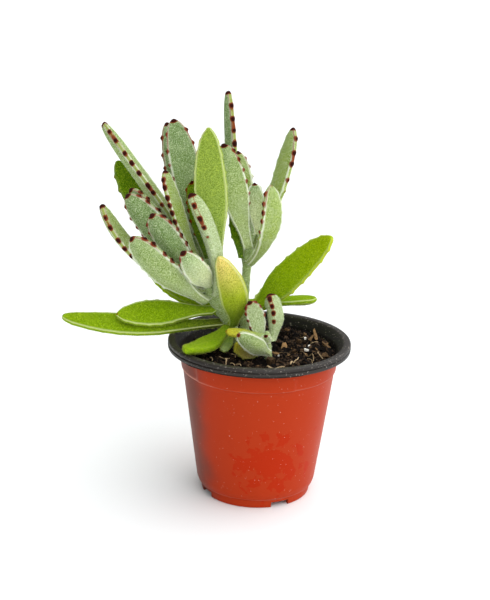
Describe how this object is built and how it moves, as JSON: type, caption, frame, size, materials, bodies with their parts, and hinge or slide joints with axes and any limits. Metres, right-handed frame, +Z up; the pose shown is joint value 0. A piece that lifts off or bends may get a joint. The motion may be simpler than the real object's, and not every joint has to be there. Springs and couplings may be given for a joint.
{
  "type": "potted panda plant",
  "caption": "Succulent houseplant with upright shoots of thick felted leaves, toothed and spotted along their edges, growing from soil in a small round tapered pot with a rolled rim.",
  "frame": {"origin": "the middle of the pot's underside, on the surface that it stands on", "axes": "+Z up along the pot's axis, +X to the viewer's right and -Y towards the viewer in the picture"},
  "size_m": [0.1423, 0.1064, 0.1921],
  "materials": {
    "leaf": "silvery grey-green felt of fine hairs with dark red-brown spots along the edge",
    "leaf_green": "bright yellow-green felt of fine hairs, on the older lower leaves",
    "stem": "pale green, finely felted",
    "pot": "satin brick-red outside, black rim and inside, thermoformed polystyrene",
    "soil": "damp dark potting mix with bark, straw and perlite"
  },
  "bodies": {
    "root": {"pot": "pot", "soil": "soil", "stem_main": "stem", "stem_right": "stem", "stem_offset": "stem", "leaf_rosette_01": "leaf", "leaf_rosette_02": "leaf", "leaf_rosette_03": "leaf", "leaf_rosette_04": "leaf", "leaf_rosette_05": "leaf", "leaf_rosette_06": "leaf", "leaf_rosette_07": "leaf_green", "leaf_rosette_08": "leaf", "leaf_rosette_09": "leaf", "leaf_rosette_10": "leaf", "leaf_rosette_11": "leaf", "leaf_rosette_12": "leaf_green", "leaf_rosette_13": "leaf_green", "leaf_rosette_14": "leaf", "leaf_rosette_15": "leaf", "leaf_low_01": "leaf_green", "leaf_low_02": "leaf_green", "leaf_low_03": "leaf_green", "leaf_low_04": "leaf_green", "leaf_low_05": "leaf_green", "leaf_low_06": "leaf_green", "leaf_low_07": "leaf_green", "leaf_right_01": "leaf", "leaf_right_02": "leaf", "leaf_right_03": "leaf", "leaf_right_04": "leaf", "leaf_right_05": "leaf", "leaf_right_06": "leaf", "leaf_right_07": "leaf_green", "leaf_right_08": "leaf_green", "leaf_right_09": "leaf_green", "leaf_right_10": "leaf", "leaf_right_11": "leaf_green", "leaf_offset_01": "leaf", "leaf_offset_02": "leaf", "leaf_offset_03": "leaf", "leaf_offset_04": "leaf", "leaf_offset_05": "leaf_green", "leaf_offset_06": "leaf_green"}
  },
  "joints": []
}
